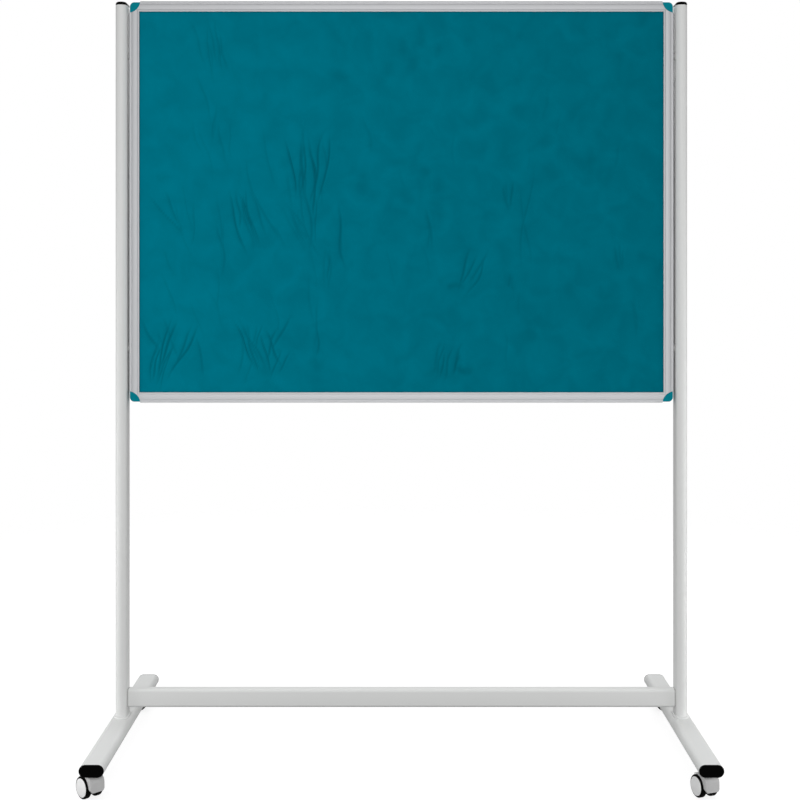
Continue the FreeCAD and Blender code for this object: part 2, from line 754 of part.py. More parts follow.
def caster(name):
    """All pieces of one caster, turned to its heading and moved to its place on a foot."""
    turn = caster_headings[name] + 90
    place = caster_place(name)
    left_wheel = wheel()
    left_disc = wheel_disc()
    about_axle = {
        "hood": hood(),
        "axle": axle(),
        "left_wheel": left_wheel.rotated(ORIGIN, Z_AXIS, 180),
        "right_wheel": left_wheel,
        "left_disc": left_disc.rotated(ORIGIN, Z_AXIS, 180),
        "right_disc": left_disc,
    }
    pieces = {"stem": stem().translated(place)}
    for piece, shape in about_axle.items():
        turned = shape.translated(V(0, caster_trail, wheel_radius)).rotated(ORIGIN, Z_AXIS, turn)
        pieces[piece] = turned.translated(place)
    return {f"{name}_caster_{piece}": shape for piece, shape in pieces.items()}


def all_nodes():
    """Every piece of the object under its name."""
    nodes = {}
    for side in sides:
        nodes[f"{side}_upright"] = upright(side)
        nodes[f"{side}_upright_cap"] = upright_cap(side)
        nodes[f"{side}_foot"] = foot(side)
        nodes[f"{side}_crossbar_plug"] = crossbar_plug(side)
        for end in ends:
            nodes[f"{end}_{side}_foot_cap"] = foot_cap(end, side)
    nodes["crossbar"] = crossbar()
    bar_bolt_length = tube_short + bar_plug_flange + bar_bolt_grip
    nodes["crossbar_bolts"] = side_bolts(bar_bolt_heights, bar_bolt_length)
    board_bolt_length = tube_short + spacer_thickness + rail_wall + nut_plate_thickness + bolt_overrun
    nodes["board_bolts"] = side_bolts(board_bolt_heights, board_bolt_length)
    nodes["board_spacers"] = board_spacers()
    nodes["board_nut_plates"] = board_nut_plates()
    nodes["board_core"] = board_core()
    for end in ends:
        nodes[f"{end}_felt"] = felt(end)
    nodes.update(frame_rails())
    nodes.update(corner_connectors())
    nuts = [caster_nut().translated(caster_place(name)) for name in caster_headings]
    nodes["caster_nuts"] = Part.makeCompound(nuts)
    for name in caster_headings:
        nodes.update(caster(name))
    return nodes


os.makedirs("parts", exist_ok=True)
for node_name, node_shape in all_nodes().items():
    node_shape.exportStep(f"parts/{node_name}.step")
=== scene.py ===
"""Mobile pinboard: the finished surfaces of a felt board in an aluminium frame on an oval-tube stand.

Metres, in the frame of the construction: the origin is on the floor under the middle
of the board, +Z is up, the front of the board faces -Y and +X is to the right.
"""

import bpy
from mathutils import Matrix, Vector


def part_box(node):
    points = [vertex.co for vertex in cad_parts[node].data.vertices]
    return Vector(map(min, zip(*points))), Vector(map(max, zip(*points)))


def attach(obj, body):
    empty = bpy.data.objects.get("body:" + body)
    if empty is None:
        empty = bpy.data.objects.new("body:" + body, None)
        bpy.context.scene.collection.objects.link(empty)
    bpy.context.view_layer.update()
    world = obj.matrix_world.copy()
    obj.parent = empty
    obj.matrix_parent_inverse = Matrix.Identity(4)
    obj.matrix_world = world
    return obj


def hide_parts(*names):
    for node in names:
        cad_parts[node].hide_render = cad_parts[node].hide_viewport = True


bl_info = {
    "name": "Mobile Pinboard",
    "version": (1, 0, 0),
    "blender": (4, 5, 0),
    "location": "View3D > Sidebar > Pinboard",
    "description": "Dresses a mobile pinboard and sets its studio stage",
    "category": "Object",
}

from typing import NamedTuple

import bmesh
import bpy
import numpy as np
from bpy.props import FloatProperty, FloatVectorProperty, IntProperty, PointerProperty
from mathutils import Vector

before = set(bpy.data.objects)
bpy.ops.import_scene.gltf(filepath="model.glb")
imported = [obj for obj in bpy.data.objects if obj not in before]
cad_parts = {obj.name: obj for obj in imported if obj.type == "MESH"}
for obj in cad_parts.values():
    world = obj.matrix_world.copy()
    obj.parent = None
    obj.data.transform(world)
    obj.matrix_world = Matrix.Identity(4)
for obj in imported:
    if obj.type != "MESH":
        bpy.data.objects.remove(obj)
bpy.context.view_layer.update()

MM = 0.001
SIDES = {"left": -1, "right": 1}
ENDS = {"front": -1, "rear": 1}
CORNERS = ("front_left", "front_right", "rear_left", "rear_right")
TUBE_WALL = 1.5 * MM
TUBE_EDGE = 0.3 * MM
BOLT_HEAD_RADIUS = 6.0 * MM
FELT_SWELL_WIDTH = 3.0 * MM

# Sockets of a Mix node set to colours: the factor, both colours, and the result among its outputs.
MIX_FACTOR = 0
MIX_FIRST = 6
MIX_SECOND = 7
MIX_RESULT = 2


def linear(code):
    """Linear RGB of an sRGB hex colour: ((c + 0.055) / 1.055) ** 2.4, or c / 12.92 near black."""
    channels = [int(code[start:start + 2], 16) / 255 for start in (1, 3, 5)]
    return tuple(c / 12.92 if c <= 0.04045 else ((c + 0.055) / 1.055) ** 2.4 for c in channels)


class StandSettings(bpy.types.PropertyGroup):
    """Finish and fine sizes of the stand."""

    coat_colour: FloatVectorProperty(
        name="Powder coat", description="Coat on the uprights, feet and crossbar",
        subtype="COLOR", min=0, max=1, default=linear("#DCDDDC"))
    cap_colour: FloatVectorProperty(
        name="Caps", description="Black plastic of the caps on the tubes' ends",
        subtype="COLOR", min=0, max=1, default=linear("#020202"))
    plug_colour: FloatVectorProperty(
        name="Plugs and spacers", description="Grey plastic of the crossbar's plugs and the board's spacers",
        subtype="COLOR", min=0, max=1, default=linear("#A6A6A5"))
    weld_radius: FloatProperty(
        name="Weld radius", description="Radius of the weld bead round an upright's base",
        unit="LENGTH", subtype="DISTANCE", default=2.6 * MM)
    weld_pitch: FloatProperty(
        name="Weld pitch", description="Distance from one ripple of the weld to the next",
        unit="LENGTH", subtype="DISTANCE", default=2.8 * MM)


class BoardSettings(bpy.types.PropertyGroup):
    """Finish and fine sizes of the board."""

    # Painted light and shade: the felt is paler at its left end and darker at its right, as if lit from the
    # left.
    felt_lit_left: FloatVectorProperty(
        name="Felt, light", description="Felt at the paler, left end of its drift in colour",
        subtype="COLOR", min=0, max=1, default=linear("#00768A"))
    felt_shaded_right: FloatVectorProperty(
        name="Felt, dark", description="Felt at the deeper, right end of its drift in colour",
        subtype="COLOR", min=0, max=1, default=linear("#00687A"))
    # Painted shade: the felt takes this colour in its creases and along the rim pinched by the rails.
    felt_crease_shade: FloatVectorProperty(
        name="Felt, crease", description="Felt at the bottom of a crease",
        subtype="COLOR", min=0, max=1, default=linear("#005564"))
    crease_depth: FloatProperty(
        name="Crease depth", description="How far a crease lies below the felt's face",
        unit="LENGTH", subtype="DISTANCE", default=0.2 * MM)
    crease_seed: IntProperty(
        name="Crease seed", description="Start of the random draws that lay out the creases", default=11)
    aluminium_colour: FloatVectorProperty(
        name="Aluminium", description="Clear anodised aluminium of the frame rails",
        subtype="COLOR", min=0, max=1, default=linear("#C2C3C5"))
    corner_colour: FloatVectorProperty(
        name="Corners", description="Teal plastic of the frame's corners",
        subtype="COLOR", min=0, max=1, default=linear("#008292"))


class CasterSettings(bpy.types.PropertyGroup):
    """Colours of the casters."""

    hood_colour: FloatVectorProperty(
        name="Hood", description="Grey moulded caster body",
        subtype="COLOR", min=0, max=1, default=linear("#BEBEBE"))
    wheel_colour: FloatVectorProperty(
        name="Wheels", description="Black moulded wheels",
        subtype="COLOR", min=0, max=1, default=linear("#060606"))
    disc_colour: FloatVectorProperty(
        name="Discs", description="Light grey covers on the wheels",
        subtype="COLOR", min=0, max=1, default=linear("#EBEBEB"))


class StageSettings(bpy.types.PropertyGroup):
    """Camera, floor and lights."""

    eye: FloatVectorProperty(
        name="Camera", description="Place of the camera, which looks level along +Y",
        subtype="TRANSLATION", unit="LENGTH", default=(0.0, -2.930, 1.0495))
    lens: FloatProperty(
        name="Lens", description="Focal length in millimetres on a 36 mm sensor", subtype="DISTANCE_CAMERA",
        default=59.7)
    shift: FloatVectorProperty(
        name="Shift", description="Shift of the lens across and up, as a share of the picture's width",
        size=2, default=(-0.00175, -0.1564))
    floor_radius: FloatProperty(
        name="Floor radius", description="Radius at which the floor has faded into the background",
        unit="LENGTH", subtype="DISTANCE", default=3.2)
    sky_strength: FloatProperty(
        name="Sky", description="Strength of the soft white light from straight above", default=0.7)
    ground_strength: FloatProperty(
        name="Ground", description="Strength of the soft white light from below the horizon", default=0.17)
    side_power: FloatProperty(
        name="Side lights", description="Power of each of the two upright strip lights beside the posts",
        unit="POWER", default=8.0)
    front_power: FloatProperty(
        name="Front light", description="Power of the large light before the board",
        unit="POWER", default=60.0)
    rear_power: FloatProperty(
        name="Rear light", description="Power of the large light behind the board",
        unit="POWER", default=32.0)


def link(tree, node, sockets):
    """Feed inputs of a node, given by name or number, from the sockets of other nodes."""
    for name, socket in sockets.items():
        tree.links.new(socket, node.inputs[name])


def add_node(tree, kind, settings=None, links=None):
    """Add a shader node. Settings name inputs, by name or number, or else attributes; links name inputs."""
    node = tree.nodes.new(kind)
    for name, value in (settings or {}).items():
        if isinstance(name, int) or name in node.inputs:
            node.inputs[name].default_value = value
        else:
            setattr(node, name, value)
    link(tree, node, links or {})
    return node


def new_material(name, settings):
    """Material with a Principled shader whose own sockets get the settings; its tree, shader and place."""
    material = bpy.data.materials.new(name)
    material.use_nodes = True
    tree = material.node_tree
    shader = tree.nodes["Principled BSDF"]
    for socket, value in settings.items():
        shader.inputs[socket].default_value = value
    place = add_node(tree, "ShaderNodeTexCoord").outputs["Object"]
    return material, tree, shader, place


def grains_per_metre(size):
    """Scale of a noise whose grains are about one size across."""
    return 1 / size


def shade(colour, share):
    """RGBA of a colour times a share."""
    return tuple(channel * share for channel in colour[:3]) + (1.0,)


def powder_coat(colour):
    """Polyester powder coat baked on steel: an even satin skin with a faint orange peel.

    The peel is really about 1.5 mm across, drawn at 5 mm so that it shows.
    """
    peel_size = 5 * MM
    peel_depth = 0.25 * MM
    drift_size = 140 * MM
    darkest = shade(colour, 0.965)
    material, tree, shader, place = new_material(
        "Powder coated steel", {"Roughness": 0.5, "IOR": 1.5, "Specular IOR Level": 0.3})
    drift = add_node(tree, "ShaderNodeTexNoise", {"Scale": grains_per_metre(drift_size)}, {"Vector": place})
    tint = add_node(tree, "ShaderNodeMix",
                    {"data_type": "RGBA", MIX_FIRST: darkest, MIX_SECOND: shade(colour, 1)},
                    {MIX_FACTOR: drift.outputs["Fac"]})
    peel = add_node(tree, "ShaderNodeTexNoise", {"Scale": grains_per_metre(peel_size)}, {"Vector": place})
    bump = add_node(tree, "ShaderNodeBump", {"Strength": 0.18, "Distance": peel_depth},
                    {"Height": peel.outputs["Fac"]})
    link(tree, shader, {"Base Color": tint.outputs[MIX_RESULT], "Normal": bump.outputs["Normal"]})
    return material


def anodised_aluminium(colour, along):
    """Extruded, clear anodised aluminium: a satin metal with die lines along the rail.

    The lines are really 0.1 to 0.3 mm apart, drawn at 1.2 mm so that they show.
    """
    line_pitch = 1.2 * MM
    line_length = 300 * MM
    line_depth = 0.05 * MM
    darkest = shade(colour, 0.9)
    scale = [grains_per_metre(line_pitch)] * 3
    scale[along] = grains_per_metre(line_length)
    material, tree, shader, place = new_material(
        f"Anodised aluminium along {'XYZ'[along]}", {"Metallic": 1.0})
    stretched = add_node(tree, "ShaderNodeMapping", {"Scale": scale}, {"Vector": place})
    lines = add_node(tree, "ShaderNodeTexNoise", {"Scale": 1.0, "Detail": 3.0},
                     {"Vector": stretched.outputs["Vector"]})
    tint = add_node(tree, "ShaderNodeMix",
                    {"data_type": "RGBA", MIX_FIRST: darkest, MIX_SECOND: shade(colour, 1)},
                    {MIX_FACTOR: lines.outputs["Fac"]})
    satin = add_node(tree, "ShaderNodeMapRange", {"To Min": 0.6, "To Max": 0.72},
                     {"Value": lines.outputs["Fac"]})
    bump = add_node(tree, "ShaderNodeBump", {"Strength": 0.15, "Distance": line_depth},
                    {"Height": lines.outputs["Fac"]})
    link(tree, shader, {"Base Color": tint.outputs[MIX_RESULT], "Roughness": satin.outputs["Result"],
                        "Normal": bump.outputs["Normal"]})
    return material


def moulded_plastic(name, colour, roughness, gloss, grain_size, grain_depth):
    """Injection-moulded plastic: a dyed skin with the fine grain of its mould and slight flow marks.

    The grain is really about 0.2 mm across, drawn at about 1 mm so that it shows.
    """
    flow_size = 18 * MM
    darkest = shade(colour, 0.9)
    lightest = shade(colour, 1.04)
    material, tree, shader, place = new_material(
        name, {"Roughness": roughness, "IOR": 1.49, "Specular IOR Level": gloss})
    flow = add_node(tree, "ShaderNodeTexNoise", {"Scale": grains_per_metre(flow_size)}, {"Vector": place})
    tint = add_node(tree, "ShaderNodeMix", {"data_type": "RGBA", MIX_FIRST: darkest, MIX_SECOND: lightest},
                    {MIX_FACTOR: flow.outputs["Fac"]})
    grain = add_node(tree, "ShaderNodeTexNoise", {"Scale": grains_per_metre(grain_size), "Detail": 3.0},
                     {"Vector": place})
    bump = add_node(tree, "ShaderNodeBump", {"Strength": 0.3, "Distance": grain_depth},
                    {"Height": grain.outputs["Fac"]})
    link(tree, shader, {"Base Color": tint.outputs[MIX_RESULT], "Normal": bump.outputs["Normal"]})
    return material


def needle_felt(light, dark, crease):
    """Dyed needle felt: matted fibres without any gloss, with a random mottle and a painted shade that
    darkens it from left to right.

    Fibres are really 0.03 mm thick and lie in tufts of 1 to 2 mm, drawn at 3 mm so that
    they show. The crease attribute paints shade: 1 is the painted shade at the bottom of a
    crease, more is the painted shadow of the rails on the pinched rim, and below 0 is a painted
    highlight beside a crease.
    """
    tuft_size = 3 * MM
    tuft_depth = 0.6 * MM
    cloud_size = 52 * MM
    half_width = felt_free_half()[0]
    material, tree, shader, place = new_material(
        "Needle felt", {"Roughness": 0.95, "IOR": 1.45, "Specular IOR Level": 0.0})
    # Painted shade: the colour goes from the paler left to the darker right across the felt's width, with a
    # random mottle on top.
    split = add_node(tree, "ShaderNodeSeparateXYZ", links={"Vector": place})
    across = add_node(tree, "ShaderNodeMapRange", {"From Min": -half_width, "From Max": half_width},
                      {"Value": split.outputs["X"]})
    cloud = add_node(tree, "ShaderNodeTexNoise",
                     {"Scale": grains_per_metre(cloud_size), "Detail": 2.0, "Distortion": 0.5},
                     {"Vector": place})
    uneven = add_node(tree, "ShaderNodeMapRange",
                      {"From Min": 0.3, "From Max": 0.7, "To Min": -0.32, "To Max": 0.24},
                      {"Value": cloud.outputs["Fac"]})
    drift = add_node(tree, "ShaderNodeMath", {"operation": "ADD"},
                     {0: across.outputs["Result"], 1: uneven.outputs["Result"]})
    dye_and_painted_shade = add_node(tree, "ShaderNodeMix",
                    {"data_type": "RGBA", "clamp_factor": False,
                     MIX_FIRST: shade(light, 1), MIX_SECOND: shade(dark, 1)},
                    {MIX_FACTOR: drift.outputs["Value"]})
    # Painted shade in the creases and along the pinched rim; where the factor is below 0, a painted highlight
    # beside a crease.
    painted_crease_shade = add_node(tree, "ShaderNodeAttribute", {"attribute_name": "crease"})
    crease_shaded = add_node(tree, "ShaderNodeMix",
                       {"data_type": "RGBA", "clamp_factor": False, MIX_SECOND: shade(crease, 1)},
                       {MIX_FACTOR: painted_crease_shade.outputs["Fac"], MIX_FIRST: dye_and_painted_shade.outputs[MIX_RESULT]})
    tufts = add_node(tree, "ShaderNodeTexNoise",
                     {"Scale": grains_per_metre(tuft_size), "Detail": 5.0, "Distortion": 1.2},
                     {"Vector": place})
    bloom = add_node(tree, "ShaderNodeMapRange", {"To Min": 0.94, "To Max": 1.06},
                     {"Value": tufts.outputs["Fac"]})
    fibres = add_node(tree, "ShaderNodeVectorMath", {"operation": "SCALE"},
                      {0: crease_shaded.outputs[MIX_RESULT], "Scale": bloom.outputs["Result"]})
    bump = add_node(tree, "ShaderNodeBump", {"Strength": 0.35, "Distance": tuft_depth},
                    {"Height": tufts.outputs["Fac"]})
    link(tree, shader, {"Base Color": fibres.outputs["Vector"], "Normal": bump.outputs["Normal"]})
    return material


def zinc_steel():
    """Zinc-plated steel: a bright grey metal with a cloudy plating."""
    cloud_size = 4 * MM
    colour = linear("#C4C6C9")
    darkest = shade(colour, 0.8)
    material, tree, shader, place = new_material("Zinc plated steel", {"Metallic": 1.0, "Roughness": 0.32})
    cloud = add_node(tree, "ShaderNodeTexNoise", {"Scale": grains_per_metre(cloud_size), "Detail": 3.0},
                     {"Vector": place})
    tint = add_node(tree, "ShaderNodeMix",
                    {"data_type": "RGBA", MIX_FIRST: darkest, MIX_SECOND: shade(colour, 1)},
                    {MIX_FACTOR: cloud.outputs["Fac"]})
    link(tree, shader, {"Base Color": tint.outputs[MIX_RESULT]})
    return material


def softboard():
    """Pressed wood-fibre board: matt brown fibres in coarse flakes."""
    flake_size = 6 * MM
    flake_depth = 0.4 * MM
    colour = linear("#B59A72")
    darkest = shade(colour, 0.7)
    lightest = shade(colour, 1.1)
    material, tree, shader, place = new_material("Softboard", {"Roughness": 0.95, "IOR": 1.45})
    flakes = add_node(tree, "ShaderNodeTexNoise", {"Scale": grains_per_metre(flake_size), "Detail": 5.0},
                      {"Vector": place})
    tint = add_node(tree, "ShaderNodeMix", {"data_type": "RGBA", MIX_FIRST: darkest, MIX_SECOND: lightest},
                    {MIX_FACTOR: flakes.outputs["Fac"]})
    bump = add_node(tree, "ShaderNodeBump", {"Strength": 0.5, "Distance": flake_depth},
                    {"Height": flakes.outputs["Fac"]})
    link(tree, shader, {"Base Color": tint.outputs[MIX_RESULT], "Normal": bump.outputs["Normal"]})
    return material


def studio_floor(radius):
    """White acrylic lit from behind: it swallows most shadows and fades into the background at its edge."""
    fade_start = 0.55 * radius
    material, tree, shader, place = new_material(
        "Back-lit white acrylic", {"Roughness": 0.7, "Base Color": shade(linear("#7C7C7C"), 1),
                                   "Emission Color": (1, 1, 1, 1), "Emission Strength": 0.84})
    distance = add_node(tree, "ShaderNodeVectorMath", {"operation": "LENGTH"}, {0: place})
    fade = add_node(tree, "ShaderNodeMapRange",
                    {"interpolation_type": "SMOOTHSTEP", "From Min": fade_start, "From Max": radius},
                    {"Value": distance.outputs["Value"]})
    clear = add_node(tree, "ShaderNodeBsdfTransparent")
    mix = add_node(tree, "ShaderNodeMixShader", links={
        0: fade.outputs["Result"], 1: shader.outputs["BSDF"], 2: clear.outputs["BSDF"]})
    link(tree, tree.nodes["Material Output"], {"Surface": mix.outputs["Shader"]})
    return material


def surface(name, points, material, wrap_rows=False, wrap_columns=False, caps=False, attributes=None):
    """Mesh object of one or more grids of points, with closed seams and faces that point outwards.

    points has the shape (copies, rows, columns, 3). The face (i, j) joins the points (i, j),
    (i, j + 1), (i + 1, j + 1) and (i + 1, j), counted round where a direction is wrapped.
    Caps close the first and the last row. attributes holds one number for each point.
    """
    seam = 1e-6
    smooth_angle = 0.6
    copies, rows, columns = points.shape[:3]
    index = np.arange(copies * rows * columns).reshape(copies, rows, columns)
    ends = index[:, [0, -1]].reshape(-1, columns).tolist() if caps else []
    if wrap_rows:
        index = np.concatenate([index, index[:, :1]], axis=1)
    if wrap_columns:
        index = np.concatenate([index, index[:, :, :1]], axis=2)
    corners = [index[:, :-1, :-1], index[:, :-1, 1:], index[:, 1:, 1:], index[:, 1:, :-1]]
    quads = np.stack(corners, axis=-1).reshape(-1, 4).tolist()
    mesh = bpy.data.meshes.new(name)
    mesh.from_pydata(points.reshape(-1, 3), [], quads + ends)
    for key, values in (attributes or {}).items():
        layer = mesh.attributes.new(key, "FLOAT", "POINT")
        layer.data.foreach_set("value", values.ravel().astype(np.float32))
    shell = bmesh.new()
    shell.from_mesh(mesh)
    bmesh.ops.remove_doubles(shell, verts=shell.verts, dist=seam)
    bmesh.ops.recalc_face_normals(shell, faces=shell.faces)
    shell.to_mesh(mesh)
    shell.free()
    mesh.shade_smooth()
    mesh.set_sharp_from_angle(angle=smooth_angle)
    mesh.materials.append(material)
    piece = bpy.data.objects.new(name, mesh)
    bpy.context.scene.collection.objects.link(piece)
    return piece


def stands_for(piece, node):
    """Let a piece replace a node of the stand and ride with it."""
    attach(piece, "stand")
    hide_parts(node)


def dress(material, *nodes):
    """Give nodes of the construction a finish."""
    for node in nodes:
        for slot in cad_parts[node].material_slots:
            slot.material = material


def flat_oval(long_side, short_side, arc_points=28):
    """Closed loop of a flat-sided oval, its long side along the second axis.

    Half circles (r cos t, h + r sin t) and their opposites, with r half the short side
    and h the rest of half the long side; the straight sides join them.
    """
    radius = short_side / 2
    turn = np.linspace(0, np.pi, arc_points)
    end = np.stack([radius * np.cos(turn), long_side / 2 - radius + radius * np.sin(turn)], axis=-1)
    return np.concatenate([end, -end])


def rounded_rectangle(width, height, radius, arc_points=10):
    """Closed loop of a rectangle with round corners: a quarter circle about each corner's centre."""
    turn = np.linspace(0, np.pi / 2, arc_points)
    centre = np.array([width / 2 - radius, height / 2 - radius])
    quarter = centre + radius * np.stack([np.cos(turn), np.sin(turn)], axis=-1)
    mirrored = quarter[::-1] * [-1, 1]
    half = np.concatenate([quarter, mirrored])
    return np.concatenate([half, -half])


def bar(loops, along, axes, middle):
    """Rows of a bar: each loop of (first, second) at its place along the third of the axes given."""
    rows = np.zeros((len(loops), len(loops[0]), 3))
    rows[:, :, axes[:2]] = loops
    rows[:, :, axes[2]] = np.asarray(along)[:, None]
    return rows[None] + np.asarray(middle)


def tube_insets():
    """How far each row of a tube lies inside its outer skin: from the bore out, along and in again."""
    into = [TUBE_WALL, TUBE_WALL / 2, TUBE_EDGE, 0]
    return into + into[::-1]


def tube_places(low, high):
    """Place of each row of a tube along its length."""
    return [low] * 3 + [low + TUBE_EDGE, high - TUBE_EDGE] + [high] * 3


def upright_section(inset):
    """Loop of an upright's section, drawn in by an inset on all sides."""
    low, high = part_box("left_upright_cap")
    return flat_oval(high.y - low.y - 2 * inset, high.x - low.x - 2 * inset)


def weld_bead(radius, pitch, low, middle_x):
    """Rows of a weld bead: a rippled ring carried round the upright's base.

    At the arc length s the ring's radius is r (1 + 0.1 cos(2 pi s / pitch)), about a
    line just outside the tube and just above the foot.
    """
    ripple = 0.1
    samples_per_ripple = 6
    ring_points = 14
    seat = 0.5
    loop = upright_section(-seat * radius)
    closed = np.concatenate([loop, loop[:1]])
    length = np.concatenate([[0], np.cumsum(np.linalg.norm(np.diff(closed, axis=0), axis=1))])
    ripples = round(length[-1] / pitch)
    along = np.linspace(0, length[-1], ripples * samples_per_ripple, endpoint=False)
    path = np.stack([np.interp(along, length, closed[:, axis]) for axis in range(2)], axis=-1)
    tangent = np.roll(path, -1, axis=0) - np.roll(path, 1, axis=0)
    outward = np.stack([tangent[:, 1], -tangent[:, 0]], axis=-1)
    outward /= np.linalg.norm(outward, axis=1)[:, None]
    swell = radius * (1 + ripple * np.cos(2 * np.pi * along * ripples / length[-1]))[:, None]
    turn = np.linspace(0, 2 * np.pi, ring_points, endpoint=False)
    out = (swell * np.cos(turn))[:, :, None] * outward[:, None]
    up = low + seat * radius + swell * np.sin(turn)
    flat = path[:, None] + out + [middle_x, 0]
    return np.concatenate([flat, up[:, :, None]], axis=-1)[None]


class PINBOARD_OT_uprights(bpy.types.Operator):
    """Two flat-oval tubes with the weld beads at their bases"""

    bl_idname = "pinboard.uprights"
    bl_label = "Uprights"

    def execute(self, context):
        settings = context.scene.pinboard_stand
        coat = powder_coat(settings.coat_colour)
        loops = [upright_section(inset) for inset in tube_insets()]
        for side in SIDES:
            node = f"{side}_upright"
            low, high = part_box(node)
            middle_x = (low.x + high.x) / 2
            rows = bar(loops, tube_places(low.z, high.z), (0, 1, 2), (middle_x, 0, 0))
            tube = surface(f"{side}_upright_tube", rows, coat, wrap_rows=True, wrap_columns=True)
            stands_for(tube, node)
            bead = weld_bead(settings.weld_radius, settings.weld_pitch, low.z, middle_x)
            weld = surface(f"{side}_upright_weld", bead, coat, wrap_rows=True, wrap_columns=True)
            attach(weld, "stand")
        return {"FINISHED"}


class PINBOARD_OT_feet(bpy.types.Operator):
    """Two flat-oval tubes that lie along Y"""

    bl_idname = "pinboard.feet"
    bl_label = "Feet"

    def execute(self, context):
        coat = powder_coat(context.scene.pinboard_stand.coat_colour)
        for side in SIDES:
            node = f"{side}_foot"
            low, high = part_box(node)
            width = high.x - low.x
            height = high.z - low.z
            loops = [flat_oval(width - 2 * inset, height - 2 * inset) for inset in tube_insets()]
            middle = ((low.x + high.x) / 2, 0, (low.z + high.z) / 2)
            rows = bar(loops, tube_places(low.y, high.y), (2, 0, 1), middle)
            tube = surface(f"{side}_foot_tube", rows, coat, wrap_rows=True, wrap_columns=True)
            stands_for(tube, node)
        return {"FINISHED"}


class PINBOARD_OT_crossbar(bpy.types.Operator):
    """Rectangular tube with rounded corners, low between the uprights"""

    bl_idname = "pinboard.crossbar"
    bl_label = "Crossbar"

    def execute(self, context):
        coat = powder_coat(context.scene.pinboard_stand.coat_colour)
        corner = 6 * MM
        low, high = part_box("crossbar")
        depth = high.y - low.y
        height = high.z - low.z
        loops = [rounded_rectangle(depth - 2 * inset, height - 2 * inset, corner - inset)
                 for inset in tube_insets()]
        rows = bar(loops, tube_places(low.x, high.x), (1, 2, 0), (0, 0, (low.z + high.z) / 2))
        tube = surface("crossbar_tube", rows, coat, wrap_rows=True, wrap_columns=True)
        stands_for(tube, "crossbar")
        return {"FINISHED"}


class BoardBox(NamedTuple):
    """Outer edges of the board's frame in X and Z, and half its depth."""

    left: float
    right: float
    bottom: float
    top: float
    depth: float


def board_box():
    """Edges and depth of the frame, from the boxes of its rails."""
    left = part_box("left_rail")[0]
    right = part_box("right_rail")[1]
    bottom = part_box("bottom_rail")[0]
    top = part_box("top_rail")[1]
    return BoardBox(left.x, right.x, bottom.z, top.z, top.y)


def rail_face_width():
    """Width of a rail seen from the front."""
    low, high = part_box("left_rail")
    return high.x - low.x


def felt_free_half():
    """Half the width and height of the felt that the rails leave free."""
    board = board_box()
    face = rail_face_width()
    return (board.right - board.left) / 2 - face, (board.top - board.bottom) / 2 - face


def progress(x, start, stop):
    """How much of the way from start to stop lies behind x, from 0 to 1."""
    return np.clip((x - start) / (stop - start), 0, 1)


def rail_loop(face, depth):
    """Closed loop of a rail's section: X inwards from the outer edge, Y through the board's depth.

    Over the width x the front skin is the rim's level, plus a shallow arch over the broad
    band and a bead beside the felt, minus a fine groove, a dip before the bead and the
    rounds of both edges. The back skin is its mirror image; a channel holds the panel.
    """
    rim_drop = 0.4 * MM
    rim_radius = 2.5 * MM
    groove_start = 6.0 * MM
    groove_stop = 6.9 * MM
    groove_depth = 0.5 * MM
    band_stop = 17.0 * MM
    dip_stop = 18.2 * MM
    dip_depth = 0.1 * MM
    bead_start = 19.5 * MM
    bead_radius = 0.7 * MM
    nose_level = 7.6 * MM
    nose_width = 2.0 * MM
    lip_level = 9.5 * MM
    web_place = 13.0 * MM
    round_in = np.linspace(0, np.pi / 2, 8)
    x = np.concatenate([
        rim_radius * (1 - np.cos(round_in)),
        np.linspace(groove_start, groove_stop, 9),
        np.linspace(groove_stop, band_stop, 14)[1:],
        np.linspace(band_stop, dip_stop, 7)[1:],
        np.linspace(dip_stop, bead_start, 5)[1:],
        face - bead_radius * (1 - np.sin(round_in)),
    ])
    rim = depth - rim_drop
    outer_round = rim_radius - np.sqrt(
        np.clip(rim_radius ** 2 - np.clip(rim_radius - x, 0, None) ** 2, 0, None))
    inner_round = bead_radius - np.sqrt(
        np.clip(bead_radius ** 2 - np.clip(x - face + bead_radius, 0, None) ** 2, 0, None))
    cut = groove_depth * np.sin(np.pi * progress(x, groove_start, groove_stop)) ** 2
    hollow = dip_depth * np.sin(np.pi * progress(x, band_stop, dip_stop)) ** 2
    arch = rim_drop * (1 - (2 * progress(x, groove_stop, band_stop) - 1) ** 2)
    rise = progress(x, dip_stop, bead_start)
    bead = rim_drop * rise * rise * (3 - 2 * rise)
    skin = np.stack([x, rim + arch + bead - cut - hollow - outer_round - inner_round], axis=-1)
    channel = np.array([[face, nose_level], [face - nose_width, nose_level],
                        [face - nose_width, lip_level], [web_place, lip_level]])
    half = np.concatenate([skin, channel])
    return np.concatenate([half, half[::-1] * [1, -1]])


def rail_end(x, face):
    """How far a rail's end lies from the frame's corner at a distance x from its outer edge.

    The mitre is x itself. The corner leaf's edge is a circle about a point (c, c) that
    passes the leaf's tip and the middle of its swell; the larger of the two counts.
    """
    reach = 25.15 * MM
    inset = 2.5 * MM
    swell = 17.65 * MM
    centre = (reach ** 2 + inset ** 2 - 2 * swell ** 2) / (2 * (reach + inset - 2 * swell))
    radius = np.sqrt(2) * (swell - centre)
    leaf = centre + np.sqrt(radius ** 2 - (x - centre) ** 2)
    return np.maximum(x, np.where(x < face, np.minimum(leaf, reach), x))


